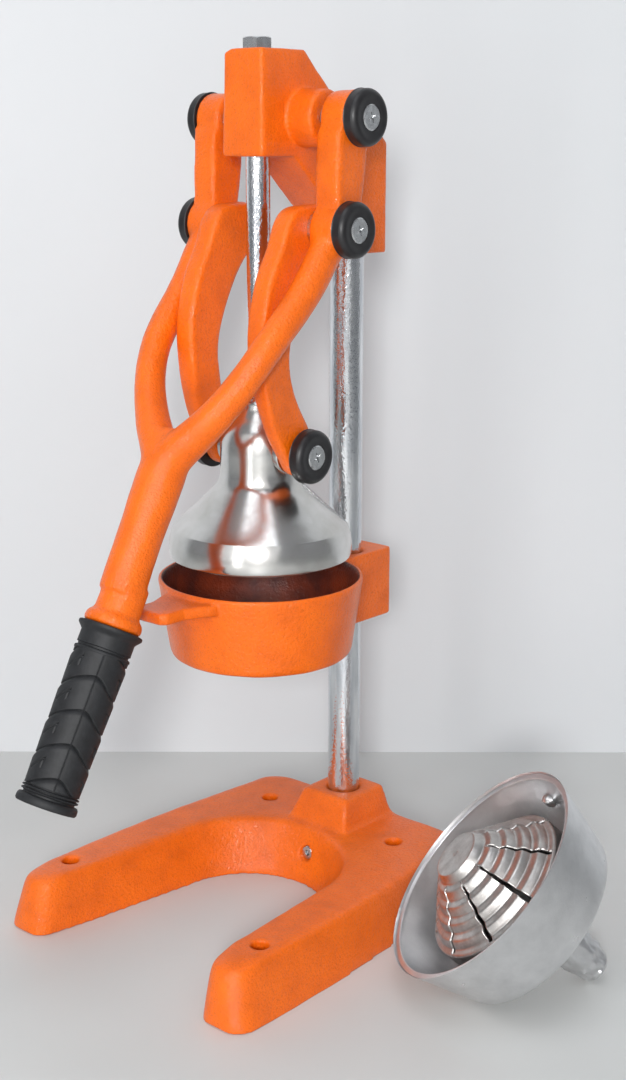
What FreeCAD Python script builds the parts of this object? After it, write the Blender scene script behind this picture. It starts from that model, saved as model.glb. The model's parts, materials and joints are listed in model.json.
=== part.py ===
import FreeCAD, Part
import math
import os

os.makedirs("parts", exist_ok=True)
V = FreeCAD.Vector

# A lever citrus juice press: a horseshoe base carries a round column, and the
# column carries a head casting and a ring for the juice cup. The head guides a
# vertical rod with the pressing bell. A forked handle turns on a cross shaft in
# the head and drives the bell down through two bowed links.
# Millimetres, +Z up. The origin is where the column axis meets the table.
# The handle comes out toward -Y. "Right" is +X.

# Shared clearances
run_gap = 0.08          # radial play of a moving shaft in its hole
set_gap = 0.05          # radial play of a fixed pin or screw in its hole
seat_gap = 0.1          # face clearance of pieces that are fixed together
part_gap = 0.3          # face clearance of pieces that move past each other

# Column and rod
column_radius = 11.0
rod_radius = 7.3
rod_reach = 83.6        # column axis to rod axis
rod_seat = 21.5         # the rod's depth in the bell
column_foot = 8.0

# Base
base_height = 37.0
top_side = 98.0         # half width of the top face at the legs
top_side_rear = 88.0
top_tip = 128.0         # legs end this far in front of the rod axis
top_rear = 108.0        # rear edge behind the rod axis
top_mouth = 71.0        # half width of the gap between the legs at their ends
top_throat = 64.5
top_apex = 49.5
foot_side = 106.5
foot_side_rear = 96.0
foot_tip = 135.0
foot_rear = 116.0
foot_mouth = 69.0
foot_throat = 53.0
foot_apex = 35.5
tip_corner = 13.0
rear_corner = 18.0
base_edge = 2.0
boss_height = 20.4
boss_foot_half = 26.0
boss_top_half = 19.5
boss_foot_front = 30.0  # in front of the column axis
boss_top_front = 20.0
boss_rear = 20.4
bolt_hole_radius = 5.6
front_hole_half = 85.5
front_hole_ahead = 94.0
rear_hole_half = 56.7
rear_hole_behind = 68.4
base_screw_radius = 4.95
base_screw_height = 19.0
base_screw_length = 27.5

# Head casting
head_half = 16.7
head_front = 14.0
head_rise = 39.3        # top above the cross shaft
head_block_drop = 22.2  # foot of the front block below the shaft
head_socket_rise = 14.7  # rear wall's top below the shaft
head_socket_drop = 82.7  # foot of the column socket below the shaft
head_socket_half = 20.4
column_drop = 24.7      # end of the column below the shaft
head_edge = 2.5
grub_radius = 4.0
grub_length = 7.6
grub_key_radius = 2.2

# Pivots, measured from the rod axis and the table
shaft_behind = 23.3
shaft_height = 509.7
elbow_behind = 13.5
elbow_drop = 63.9       # elbow pin below the cross shaft
link_span = 135.6       # foot pin below the elbow pin at rest
shaft_radius = 7.0
pin_radius = 6.0
shaft_boss_radius = 17.0
shaft_boss_half = 36.0

# Handle
arm_inner = 41.0
arm_outer = 60.0
hub_radius = 16.0
arm_plate_front = 4.5
arm_plate_rear = 29.5
stem_radius = 13.8
collar_radius = 17.2
spigot_radius = 10.0
grip_ahead = 140.5      # top of the grip ahead of the elbow pin
grip_drop = 223.8       # and below it
grip_run = 54.0         # the grip's length, forward
grip_fall = 94.5        # and down
grip_flange_radius = 19.4
grip_flange = 5.0
grip_neck_radius = 15.6
grip_radius = 16.8
grip_tail_radius = 18.3
grip_tail = 5.5
grip_steps = 5
grip_step_drop = 0.9
grip_bore_depth = 92.0

# Links
link_inner = 26.0
link_outer = 37.0
link_boss_outer = 39.0
link_top_radius = 14.5
link_foot_radius = 13.3
link_edge = 2.6
link_inner_edge = 3.4

# Knobs over the pin ends
knob_radius = 16.5
knob_height = 8.7
knob_edge = 2.4
knob_screw_radius = 7.5
knob_screw_head = 2.0
knob_screw_shank = 3.0
knob_screw_reach = 10.0
washer_radius = 11.5
washer_depth = 1.6

# Bell
bell_length = 98.0
bell_pin_rise = 68.2    # foot pins above the bell's edge
bell_lug_half = 25.5
bell_lug_radius = 12.5
bell_top_radius = 11.0

# Rod bolt
bolt_flat_radius = 8.3
bolt_head = 6.4
bolt_shank_radius = 5.0
bolt_shank = 22.0

# Cup ring on the column
ring_drop = 13.3        # rim below the bell's edge at rest
ring_height = 51.0
ring_top_radius = 65.5
ring_foot_radius = 58.0
ring_wall = 3.2
ring_lip = 4.5
ring_block_half = 18.0
ring_block_rear = 28.5   # behind the column axis
ring_block_rise = 3.8    # foot of the block above the ring's foot
ring_edge = 3.0
tab_root_half = 22.0
tab_end_half = 14.0
tab_reach = 99.0
tab_drop = 2.7           # below the rim
tab_depth = 7.5

# Cup and strainer, measured along the cup's own axis from its rim plane
cup_rim_radius = 72.1
cup_shoulder_radius = 61.0
cup_shoulder_round = 3.0
cup_wall_depth = 47.0
cup_wall = 3.2
cup_floor_drop = 11.0
spout_root_radius = 15.5
spout_end_radius = 9.5
spout_length = 43.04
spout_bore = 5.2
cup_lug = 8.0
cup_lug_depth = 16.0
cup_lug_angle = 76.0
cup_side = 172.4         # rim centre to the right of the column axis
cup_behind = 4.4         # rim centre behind the rod axis
cup_turn = 227.9         # compass direction of the opening, from +X
strainer_top = 20.0
strainer_top_radius = 16.0
strainer_radius = 50.0
strainer_foot = 12.0
strainer_steps = 5
strainer_wall = 2.2
strainer_skirt_foot = 42.0
strainer_flange = 2.4
slot_count = 9
slot_width = 2.4
slot_turn = 17.0

# Worked out from the sizes above
head_top = shaft_height + head_rise
head_block_foot = shaft_height - head_block_drop
head_socket_foot = shaft_height - head_socket_drop
head_socket_top = shaft_height - head_socket_rise
column_top = shaft_height - column_drop
elbow_height = shaft_height - elbow_drop
foot_pin_height = elbow_height - link_span
bell_foot = foot_pin_height - bell_pin_rise
bell_top = bell_foot + bell_length
rod_bottom = bell_top - rod_seat
ring_top = bell_foot - ring_drop
ring_foot = ring_top - ring_height
ring_block_foot = ring_foot + ring_block_rise
tab_top = ring_top - tab_drop
tab_foot = tab_top - tab_depth
grip_length = math.hypot(grip_run, grip_fall)
grip_dir = V(0, -grip_run / grip_length, -grip_fall / grip_length)


def at(x, y, z):
    """A point given from the rod axis, moved to the column's origin."""
    return V(x, y - rod_reach, z)


def save(name, shape):
    shape.exportStep("parts/" + name + ".step")


def bar(radius, start, end):
    line = end - start
    return Part.makeCylinder(radius, line.Length, start, line)


def turned(points):
    """A solid of revolution about Z from (radius, height) points."""
    ring = [V(r, 0, z) for r, z in points]
    face = Part.Face(Part.makePolygon(ring + [ring[0]]))
    return face.revolve(V(0, 0, 0), V(0, 0, 1), 360)


def placed(shape, origin, direction):
    """Stands a shape made along +Z on a point, along a direction."""
    new = shape.copy()
    turn = FreeCAD.Rotation(V(0, 0, 1), direction)
    new.Placement = FreeCAD.Placement(origin, turn)
    return new


def mirrored(shape):
    return shape.mirror(V(0, 0, 0), V(1, 0, 0))


def slab(points, inner, outer):
    """A plate across X from side view points (y from the rod axis, z)."""
    side = [at(inner, y, z) for y, z in points]
    face = Part.Face(Part.makePolygon(side + [side[0]]))
    return face.extrude(V(outer - inner, 0, 0))


def rounded(shape, radius, keep):
    edges = [edge for edge in shape.Edges if keep(edge)]
    return shape.makeFillet(radius, edges)


def both_sides(name, shape):
    save(name + "_right", shape)
    save(name + "_left", mirrored(shape))


# Base: one horseshoe outline at the table and one at the top face
def horseshoe(z, side, side_rear, tip, rear, mouth, throat, apex):
    r = tip_corner
    q = r * (1 - math.sqrt(0.5))
    c = rear_corner
    half = [
        ("arc", (mouth, r - tip), (mouth + q, q - tip), (mouth + r, -tip)),
        ("line", (mouth + r, -tip), (side - r, -tip)),
        ("arc", (side - r, -tip), (side - q, q - tip), (side, r - tip)),
        ("line", (side, r - tip), (side, -40.0)),
        ("arc", (side, -40.0), ((side + side_rear) / 2 + 1.6, 22.0), (side_rear, rear - 23.0)),
        ("arc", (side_rear, rear - 23.0), (side_rear - 0.28 * c, rear - 7.0), (side_rear - c, rear)),
    ]
    edges = [Part.Arc(at(-throat, -15.0, z), at(0, apex, z), at(throat, -15.0, z)).toShape()]
    edges.append(Part.makeLine(at(throat, -15.0, z), at(mouth, r - tip, z)))
    for kind, *points in half:
        spots = [at(x, y, z) for x, y in points]
        edges.append(Part.makeLine(*spots) if kind == "line" else Part.Arc(*spots).toShape())
    edges.append(Part.makeLine(at(side_rear - c, rear, z), at(c - side_rear, rear, z)))
    for kind, *points in reversed(half):
        spots = [at(-x, y, z) for x, y in reversed(points)]
        edges.append(Part.makeLine(*spots) if kind == "line" else Part.Arc(*spots).toShape())
    edges.append(Part.makeLine(at(-mouth, r - tip, z), at(-throat, -15.0, z)))
    return Part.Wire(edges)


foot_line = horseshoe(0, foot_side, foot_side_rear, foot_tip, foot_rear, foot_mouth, foot_throat, foot_apex)
top_line = horseshoe(base_height, top_side, top_side_rear, top_tip, top_rear, top_mouth, top_throat, top_apex)
base = Part.makeLoft([foot_line, top_line], True, True)


def rectangle(half, front, rear, z):
    corners = [V(-half, -front, z), V(half, -front, z), V(half, rear, z), V(-half, rear, z)]
    return Part.makePolygon(corners + [corners[0]])


boss_low = rectangle(boss_foot_half, boss_foot_front, boss_rear + 3.0, base_height - 1.0)
boss_high = rectangle(boss_top_half, boss_top_front, boss_rear, base_height + boss_height)
boss = Part.makeLoft([boss_low, boss_high], True, True)
base = base.fuse(boss).removeSplitter()
socket = Part.makeCylinder(column_radius + set_gap, 100, V(0, 0, column_foot))
base = base.cut(socket)
holes = [(front_hole_half, -front_hole_ahead), (rear_hole_half, rear_hole_behind)]
for x, y in holes:
    for side in (1, -1):
        base = base.cut(bar(bolt_hole_radius, at(side * x, y, -1), at(side * x, y, base_height + 1)))
screw_line_start = V(0, -rod_reach, base_screw_height)
base = base.cut(bar(base_screw_radius + set_gap, screw_line_start, V(0, 0, base_screw_height)))
save("base", base)


def grub(radius, length):
    """A set screw along +Z with a hexagon key socket in its near end."""
    body = Part.makeCylinder(radius, length)
    body = body.makeChamfer(0.6, [body.Edges[0], body.Edges[2]])
    key = [V(grub_key_radius * math.cos(math.radians(60 * i)), grub_key_radius * math.sin(math.radians(60 * i)), 0) for i in range(6)]
    pocket = Part.Face(Part.makePolygon(key + [key[0]])).extrude(V(0, 0, radius))
    return body.cut(pocket)


screw_tip = -column_radius - seat_gap
base_screw = placed(grub(base_screw_radius, base_screw_length), V(0, screw_tip - base_screw_length, base_screw_height), V(0, 1, 0))
save("base_set_screw", base_screw)

column = Part.makeCylinder(column_radius, column_top - column_foot - seat_gap, V(0, 0, column_foot + seat_gap))
save("column", column)

# Head casting
socket_front = rod_reach - head_socket_half
socket_rear = rod_reach + head_socket_half
head_side = [
    (-head_front, head_block_foot), (-head_front, head_top), (shaft_behind + 0.7, head_top),
    (shaft_behind + 24.2, shaft_height + 16.9), (socket_rear - 4.4, head_socket_top + 4.3),
    (socket_rear, head_socket_top), (socket_rear, head_socket_foot),
    (socket_front, head_socket_foot), (socket_front, shaft_height - 63.7),
    (shaft_behind + 24.7, shaft_height - 52.2), (shaft_behind + 5.4, shaft_height - 34.7),
    (15.0, head_block_foot),
]
head = slab(head_side, -head_half, head_half)
head = rounded(head, head_edge, lambda e: e.BoundBox.ZLength > 0.9 * (head_top - head_block_foot) and e.BoundBox.YLength < 1)
cross_boss = bar(shaft_boss_radius, at(-shaft_boss_half, shaft_behind, shaft_height), at(shaft_boss_half, shaft_behind, shaft_height))
cross_boss = cross_boss.makeChamfer(1.2, [cross_boss.Edges[0], cross_boss.Edges[2]])
head = head.fuse(cross_boss).removeSplitter()
head = head.cut(bar(rod_radius + run_gap, at(0, 0, head_block_foot - 5), at(0, 0, head_top + 5)))
head = head.cut(bar(column_radius + set_gap, V(0, 0, head_socket_foot - 5), V(0, 0, column_top + seat_gap)))
bore_half = shaft_boss_half + 5
head = head.cut(bar(shaft_radius + set_gap, at(-bore_half, shaft_behind, shaft_height), at(bore_half, shaft_behind, shaft_height)))
grub_height = (head_socket_foot + head_socket_top) / 2
head = head.cut(bar(grub_radius + set_gap, V(0, 0, grub_height), V(0, head_socket_half + 5, grub_height)))
save("head", head)
grub_tip = column_radius + seat_gap
head_screw = placed(grub(grub_radius, grub_length), V(0, grub_tip + grub_length, grub_height), V(0, -1, 0))
save("head_set_screw", head_screw)


# Cross shaft and pins, each with tapped ends for the knob screws
def pin(radius, y, z, inner, outer, tapped_inner):
    body = bar(radius, at(inner, y, z), at(outer, y, z))
    tap = knob_screw_shank + set_gap
    depth = knob_screw_reach
    body = body.cut(bar(tap, at(outer - depth, y, z), at(outer + 1, y, z)))
    if tapped_inner:
        body = body.cut(bar(tap, at(inner - 1, y, z), at(inner + depth, y, z)))
    return body


save("upper_shaft", pin(shaft_radius, shaft_behind, shaft_height, -arm_outer, arm_outer, True))
mid_pin = pin(pin_radius, elbow_behind, elbow_height, link_inner - part_gap, arm_outer, False)
mid_head = bar(pin_radius + 2.8, at(link_inner - part_gap - 2.6, elbow_behind, elbow_height), at(link_inner - part_gap, elbow_behind, elbow_height))
mid_pin = mid_pin.fuse(mid_head).removeSplitter()
both_sides("mid_pin", mid_pin)
lower_inner = bell_lug_half + part_gap
both_sides("lower_pin", pin(pin_radius, 0, foot_pin_height, lower_inner, link_boss_outer, False))


def washer(y, z, inner, outer, radius, bore):
    ring = bar(radius, at(inner, y, z), at(outer, y, z))
    return ring.cut(bar(bore, at(inner - 1, y, z), at(outer + 1, y, z)))


upper_washer = washer(shaft_behind, shaft_height, arm_inner - part_gap - washer_depth, arm_inner - part_gap, washer_radius, shaft_radius + set_gap)
both_sides("upper_washer", upper_washer)
mid_washer = washer(elbow_behind, elbow_height, link_outer + part_gap, arm_inner - seat_gap, washer_radius, pin_radius + set_gap)
both_sides("mid_washer", mid_washer)

# Knob: a round black cap, sunk for the screw head
knob_profile = [
    (knob_screw_shank + 0.2, 0), (knob_radius - 1.2, 0), (knob_radius, 1.2),
    (knob_radius, knob_height - knob_edge - 0.8), (knob_radius - knob_edge, knob_height - 0.6),
    (knob_radius - knob_edge - 1.0, knob_height), (knob_screw_radius + 0.2, knob_height),
    (knob_screw_radius + 0.2, knob_height - knob_screw_head - seat_gap),
    (knob_screw_shank + 0.2, knob_height - knob_screw_head - seat_gap),
]


def knob_screw():
    """A pan screw along +Z with a cross recess; z 0 is under its head."""
    head_profile = [(0, 0), (knob_screw_radius, 0), (knob_screw_radius, knob_screw_head - 0.5), (knob_screw_radius - 0.7, knob_screw_head), (0, knob_screw_head)]
    body = turned(head_profile)
    reach = knob_screw_reach + knob_height - knob_screw_head - 1.5
    body = body.fuse(Part.makeCylinder(knob_screw_shank, reach, V(0, 0, -reach)))
    for turn in (0, 90):
        blade = Part.makeBox(6.4, 1.1, 1.4, V(-3.2, -0.55, knob_screw_head - 1.4))
        blade.rotate(V(0, 0, 0), V(0, 0, 1), turn + 20)
        body = body.cut(blade)
    return body


knob = turned(knob_profile)
screw = knob_screw()
knob_spots = [
    ("upper", shaft_behind, shaft_height, arm_outer + part_gap),
    ("mid", elbow_behind, elbow_height, arm_outer + seat_gap),
    ("lower", 0, foot_pin_height, link_boss_outer + seat_gap),
]
for name, y, z, face in knob_spots:
    both_sides(name + "_knob", placed(knob, at(face, y, z), V(1, 0, 0)))
    under_head = face + knob_height - knob_screw_head
    both_sides(name + "_screw", placed(screw, at(under_head, y, z), V(1, 0, 0)))


# Handle: two arms from the shaft to a common stem
def ring_at(point, direction, wide, deep):
    """An ellipse across a path: wide along X, deep in the path's plane."""
    forward = V(direction).normalize()
    across = V(1, 0, 0) - forward * forward.x
    across.normalize()
    ellipse = Part.Ellipse(V(0, 0, 0), max(wide, deep) + 0.001, min(wide, deep))
    up = forward.cross(across)
    main, minor = (across, up) if wide >= deep else (up, across)
    matrix = FreeCAD.Matrix(
        main.x, minor.x, main.cross(minor).x, point.x,
        main.y, minor.y, main.cross(minor).y, point.y,
        main.z, minor.z, main.cross(minor).z, point.z,
        0, 0, 0, 1)
    wire = Part.Wire([ellipse.toShape()])
    wire.Placement = FreeCAD.Placement(matrix)
    return wire


def limb(stations):
    """A smooth limb through (x, y, z, wide, deep) stations from the rod axis."""
    points = [at(s[0], s[1], s[2]) for s in stations]
    rings = []
    for i, s in enumerate(stations):
        ahead = points[min(i + 1, len(points) - 1)] - points[max(i - 1, 0)]
        rings.append(ring_at(points[i], ahead, s[3], s[4]))
    return Part.makeLoft(rings, True, False)


arm_mid = (arm_inner + arm_outer) / 2
arm_path = [
    (0, 1.0, 4.0, 9.3, 11.6),
    (0, -9.5, -11.8, 9.3, 11.2),
    (-0.5, -20.0, -26.8, 9.2, 10.6),
    (-1.9, -33.5, -43.3, 9.0, 10.0),
    (-4.2, -50.0, -60.3, 8.9, 9.7),
    (-8.1, -62.5, -75.8, 8.9, 9.7),
    (-14.5, -71.9, -90.3, 9.1, 10.0),
    (-23.5, -80.0, -104.3, 9.6, 10.8),
    (-36.0, -88.0, -118.8, 10.6, 12.2),
    (2.0 - arm_mid, -96.0, -133.8, 11.6, 13.4),
]
arm_stations = [(arm_mid + x, elbow_behind + y, elbow_height + z, wide, deep) for x, y, z, wide, deep in arm_path]
arm_plate = slab([
    (shaft_behind - 9.3, shaft_height + 6.0), (arm_plate_front, shaft_height - 8.7),
    (arm_plate_front - 1.5, elbow_height + 24.2),
    (elbow_behind - 7.5, elbow_height - 6.0), (elbow_behind + 10.5, elbow_height - 6.0),
    (arm_plate_rear + 1.0, elbow_height + 32.2), (shaft_behind + 10.0, shaft_height + 2.0),
], arm_inner, arm_outer)
arm = arm_plate
for y, z in ((shaft_behind, shaft_height), (elbow_behind, elbow_height)):
    hub = bar(hub_radius, at(arm_inner, y, z), at(arm_outer, y, z))
    arm = arm.fuse(hub.makeChamfer(1.0, [edge for edge in hub.Edges if edge.CenterOfMass.x > arm_outer - 0.01]))
arm = arm.removeSplitter()
arm = arm.fuse(limb(arm_stations))
grip_y = elbow_behind - grip_ahead
grip_z = elbow_height - grip_drop
fork_y = elbow_behind - 97.5
fork_z = elbow_height - 138.3
stem_end_y = grip_y - 12 * grip_dir.y
stem_end_z = grip_z - 12 * grip_dir.z


def on_stem(share, ahead):
    return fork_y + share * (stem_end_y - fork_y) - ahead, fork_z + share * (stem_end_z - fork_z)


stem = limb([
    (0, fork_y + 12.0, fork_z + 23.5, 8.0, 8.0),
    (0, fork_y + 7.0, fork_z + 13.5, 13.0, 12.0),
    (0, fork_y, fork_z, 14.6, 14.2),
    (0, *on_stem(0.2597, 0.88), stem_radius + 0.4, stem_radius + 0.2),
    (0, *on_stem(0.546, 1.77), stem_radius - 0.2, stem_radius - 0.2),
    (0, *on_stem(0.879, 1.93), stem_radius - 0.2, stem_radius - 0.2),
])
grip_root = at(0, grip_y, grip_z)
collar_length = 8.5
collar = turned([
    (0, -collar_length - 18.5), (stem_radius - 0.3, -collar_length - 18.5), (stem_radius, -collar_length),
    (collar_radius - 0.8, 1.8 - collar_length), (collar_radius, 3.6 - collar_length), (collar_radius + 0.4, -2.0),
    (collar_radius - 0.6, 0), (spigot_radius, 0), (spigot_radius, grip_bore_depth - 2.0), (0, grip_bore_depth - 2.0),
])
collar = placed(collar, grip_root - grip_dir * seat_gap, grip_dir)
handle = arm.fuse([mirrored(arm), stem, collar])
handle = handle.removeSplitter()
for side in (1, -1):
    bore_in = side * (arm_inner - 5)
    bore_out = side * (arm_outer + 5)
    handle = handle.cut(bar(shaft_radius + run_gap, at(bore_in, shaft_behind, shaft_height), at(bore_out, shaft_behind, shaft_height)))
    handle = handle.cut(bar(pin_radius + set_gap, at(bore_in, elbow_behind, elbow_height), at(bore_out, elbow_behind, elbow_height)))
save("handle_fork", handle)

# Grip: a rubber sleeve with a flange at each end and stepped grooves
grip_points = [
    (0, grip_bore_depth), (spigot_radius + set_gap, grip_bore_depth), (spigot_radius + set_gap, 0),
    (grip_flange_radius - 1.2, 0), (grip_flange_radius, 1.4), (grip_flange_radius, 3.4),
    (grip_neck_radius + 1.6, grip_flange + 1.6), (grip_neck_radius, grip_flange + 3.0),
    (grip_neck_radius, 15.0), (grip_neck_radius + 0.8, 15.6),
]
body_start = 17.0
body_end = grip_length - grip_tail - 6.0
step = (body_end - body_start) / grip_steps
for i in range(grip_steps):
    low = body_start + i * step
    grip_points.append((grip_radius - grip_step_drop, low))
    grip_points.append((grip_radius, low + step - 1.6))
    grip_points.append((grip_radius - 0.3, low + step - 0.6))
tail_start = grip_length - grip_tail
grip_points += [
    (grip_neck_radius + 0.4, body_end + 0.6), (grip_neck_radius + 0.4, tail_start - 0.8),
    (grip_tail_radius, tail_start), (grip_tail_radius, grip_length - 1.0),
    (grip_tail_radius - 1.0, grip_length), (0, grip_length),
]
save("grip", placed(turned(grip_points), grip_root, grip_dir))

# Links: bowed bars from the elbow pins to the bell
def bow(share, offset):
    """A point beside the line from the foot pin (0) to the elbow pin (1)."""
    return share * elbow_behind + offset, foot_pin_height + share * link_span


front_bow = [
    bow(1.0715, -23.47), bow(1.0088, -28.62), bow(0.9314, -31.57), bow(0.8282, -37.98),
    bow(0.7139, -42.04), bow(0.5737, -43.95), bow(0.4189, -41.45), bow(0.2271, -34.07),
    bow(0.0760, -23.53),
]
rear_bow = [
    bow(0.1386, 2.63), bow(0.2382, -7.02), bow(0.3451, -14.16), bow(0.4484, -17.05),
    bow(0.5885, -14.44), bow(0.7212, -7.74), bow(0.8208, -0.58),
]


def lobe(y, z, radius, angles):
    return [(y + radius * math.cos(math.radians(a)), z + radius * math.sin(math.radians(a))) for a in angles]


foot_lobe = lobe(0, foot_pin_height, link_foot_radius, range(200, 400, 24))
top_lobe = lobe(elbow_behind, elbow_height, link_top_radius, range(-40, 120, 24))
outline = Part.BSplineCurve()
outline.interpolate(Points=[at(link_inner, y, z) for y, z in front_bow + foot_lobe + rear_bow + top_lobe], PeriodicFlag=True)
link = Part.Face(Part.Wire([outline.toShape()])).extrude(V(link_outer - link_inner, 0, 0))
link = rounded(link, link_edge, lambda e: abs(e.CenterOfMass.x - link_outer) < 0.01)
link = rounded(link, link_inner_edge, lambda e: abs(e.CenterOfMass.x - link_inner) < 0.01)
link = link.fuse(bar(link_foot_radius - 2.8, at(link_outer - 1, 0, foot_pin_height), at(link_boss_outer, 0, foot_pin_height)))
link = link.cut(bar(pin_radius + run_gap, at(link_inner - 5, elbow_behind, elbow_height), at(link_outer + 5, elbow_behind, elbow_height)))
link = link.cut(bar(pin_radius + set_gap, at(link_inner - 5, 0, foot_pin_height), at(link_boss_outer + 5, 0, foot_pin_height)))
both_sides("link", link)

# Bell: a cast cone with a thick neck, hollow below
bell_outer = [
    (54.0, bell_foot), (57.0, bell_foot + 0.8), (58.0, bell_foot + 5.0), (54.9, bell_foot + 13.6),
    (52.8, bell_foot + 17.0), (50.2, bell_foot + 20.8), (43.8, bell_foot + 28.6), (37.4, bell_foot + 35.6),
    (30.2, bell_foot + 42.0), (26.0, bell_foot + 46.4), (25.2, bell_foot + 50.5), (24.8, bell_foot + 58.0),
    (25.0, bell_foot + 70.0), (23.6, bell_foot + 78.0), (20.6, bell_foot + 83.0), (16.4, bell_foot + 87.4),
    (13.0, bell_foot + 91.0), (bell_top_radius, bell_top - 2.0), (bell_top_radius - 0.8, bell_top), (0, bell_top),
]
bell_inner = [
    (0, bell_foot + 46.0), (9.0, bell_foot + 44.5), (17.0, bell_foot + 40.0), (26.0, bell_foot + 32.0),
    (36.0, bell_foot + 23.5), (45.0, bell_foot + 15.0), (50.5, bell_foot + 8.0),
]
bell = turned([(r, z) for r, z in bell_outer + bell_inner])
bell.Placement = FreeCAD.Placement(at(0, 0, 0), FreeCAD.Rotation())
lug = bar(bell_lug_radius, at(-bell_lug_half, 0, foot_pin_height), at(bell_lug_half, 0, foot_pin_height))
bell = bell.fuse(lug).removeSplitter()
bell = bell.cut(bar(pin_radius + run_gap, at(-bell_lug_half - 5, 0, foot_pin_height), at(bell_lug_half + 5, 0, foot_pin_height)))
bell = bell.cut(bar(rod_radius + set_gap, at(0, 0, rod_bottom), at(0, 0, bell_top + 5)))
save("bell", bell)

rod_top = head_top - 0.6
rod = bar(rod_radius, at(0, 0, rod_bottom + seat_gap), at(0, 0, rod_top))
rod = rod.cut(bar(bolt_shank_radius + set_gap, at(0, 0, rod_top - bolt_shank - 1), at(0, 0, rod_top + 1)))
save("press_rod", rod)

corner = bolt_flat_radius / math.cos(math.radians(30))
hexagon = [at(corner * math.cos(math.radians(60 * i + 12)), corner * math.sin(math.radians(60 * i + 12)), head_top + part_gap) for i in range(6)]
bolt = Part.Face(Part.makePolygon(hexagon + [hexagon[0]])).extrude(V(0, 0, bolt_head))
bevel = turned([(0, 0), (corner + 1, 0), (corner + 1, bolt_head - 1.6), (bolt_flat_radius - 0.4, bolt_head), (0, bolt_head)])
bevel.Placement = FreeCAD.Placement(at(0, 0, head_top + part_gap), FreeCAD.Rotation())
bolt = bolt.common(bevel)
bolt = bolt.fuse(bar(bolt_shank_radius, at(0, 0, rod_top - bolt_shank), at(0, 0, head_top + part_gap + 1)))
save("rod_bolt", bolt)

# Cup ring: a tapered ring, a thumb tab in front and a block on the column
wall_slope = (ring_top_radius - ring_foot_radius) / (ring_top - ring_foot)
ring_inner_top = ring_top_radius - ring_wall
lip_top = ring_foot + ring_wall
ring_inner_low = ring_inner_top - wall_slope * (ring_top - lip_top)
ring = turned([
    (ring_inner_low - ring_lip, ring_foot), (ring_foot_radius - 3.0, ring_foot), (ring_foot_radius - 0.6, ring_foot + 1.4),
    (ring_foot_radius + 0.5, ring_foot + 3.6), (ring_top_radius, ring_top - 0.8), (ring_top_radius - 0.7, ring_top),
    (ring_inner_top + 0.5, ring_top), (ring_inner_top, ring_top - 0.6), (ring_inner_low, lip_top), (ring_inner_low - ring_lip, lip_top),
])
ring.Placement = FreeCAD.Placement(at(0, 0, 0), FreeCAD.Rotation())
block_depth = ring_block_rear + 22.5
block = Part.makeBox(2 * ring_block_half, block_depth, ring_top - ring_block_foot, V(-ring_block_half, ring_block_rear - block_depth, ring_block_foot))
block = rounded(block, ring_edge, lambda e: e.BoundBox.ZLength > 0.9 * (ring_top - ring_block_foot) and e.CenterOfMass.y > 0)
inside = Part.makeCone(ring_inner_low + 0.4, ring_inner_top + 0.4, ring_top - lip_top + 0.002, at(0, 0, lip_top - 0.001), V(0, 0, 1))
block = block.cut(inside).cut(bar(ring_inner_low - ring_lip + 1.0, at(0, 0, ring_foot - 1), at(0, 0, ring_top)))
tab_points = [(-tab_root_half, 7.5 - ring_top_radius), (-tab_root_half, 1.5 - ring_top_radius), (-tab_end_half, 17.0 - tab_reach), (-tab_end_half, 4.0 - tab_reach), (4.0 - tab_end_half, -tab_reach)]
tab_points += [(-x, y) for x, y in reversed(tab_points)]
tab_face = [at(x, y, tab_foot) for x, y in tab_points]
tab = Part.Face(Part.makePolygon(tab_face + [tab_face[0]])).extrude(V(0, 0, tab_top - tab_foot))
tab = rounded(tab, 1.8, lambda e: abs(e.CenterOfMass.z - tab_top) < 0.01 or abs(e.CenterOfMass.z - tab_foot) < 0.01)
tab = tab.cut(inside)
ring = ring.fuse([block, tab]).removeSplitter()
ring_low = min(ring_foot, ring_block_foot)
ring = ring.cut(bar(column_radius + run_gap, V(0, 0, ring_low - 1), V(0, 0, ring_top + 1)))
for z, low in ((ring_top, False), (ring_block_foot, True)):
    r0, r1 = (column_radius + 2.0, column_radius) if low else (column_radius, column_radius + 2.0)
    start = z if low else z - 2.0
    ring = ring.cut(Part.makeCone(r0, r1, 2.0, V(0, 0, start)))
ring_screw_height = (ring_top + ring_block_foot) / 2
ring = ring.cut(bar(grub_radius + set_gap, V(0, 0, ring_screw_height), V(0, ring_block_rear + 5, ring_screw_height)))
save("ring_holder", ring)
ring_tip = column_radius + part_gap
ring_screw_length = ring_block_rear - ring_tip + 3.0
save("ring_set_screw", placed(grub(grub_radius, ring_screw_length), V(0, ring_tip + ring_screw_length, ring_screw_height), V(0, -1, 0)))

# Cup and strainer lie beside the base: the cup rests on its shoulder and the
# end of its spout, so those two edges set how far it tips
root_depth = cup_wall_depth + cup_floor_drop
spout_depth = root_depth + spout_length
shoulder_depth = cup_wall_depth - cup_shoulder_round
tip = math.atan((spout_depth - shoulder_depth) / (cup_shoulder_radius - spout_end_radius))
turn = math.radians(cup_turn)
cup_axis = V(math.sin(tip) * math.cos(turn), math.sin(tip) * math.sin(turn), math.cos(tip))
rim_height = cup_shoulder_radius * math.sin(tip) + shoulder_depth * math.cos(tip)
cup_centre = at(cup_side, cup_behind, rim_height)
slope = (cup_rim_radius - cup_shoulder_radius) / shoulder_depth


def cup_inside(depth):
    return cup_rim_radius - cup_wall - slope * depth


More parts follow.
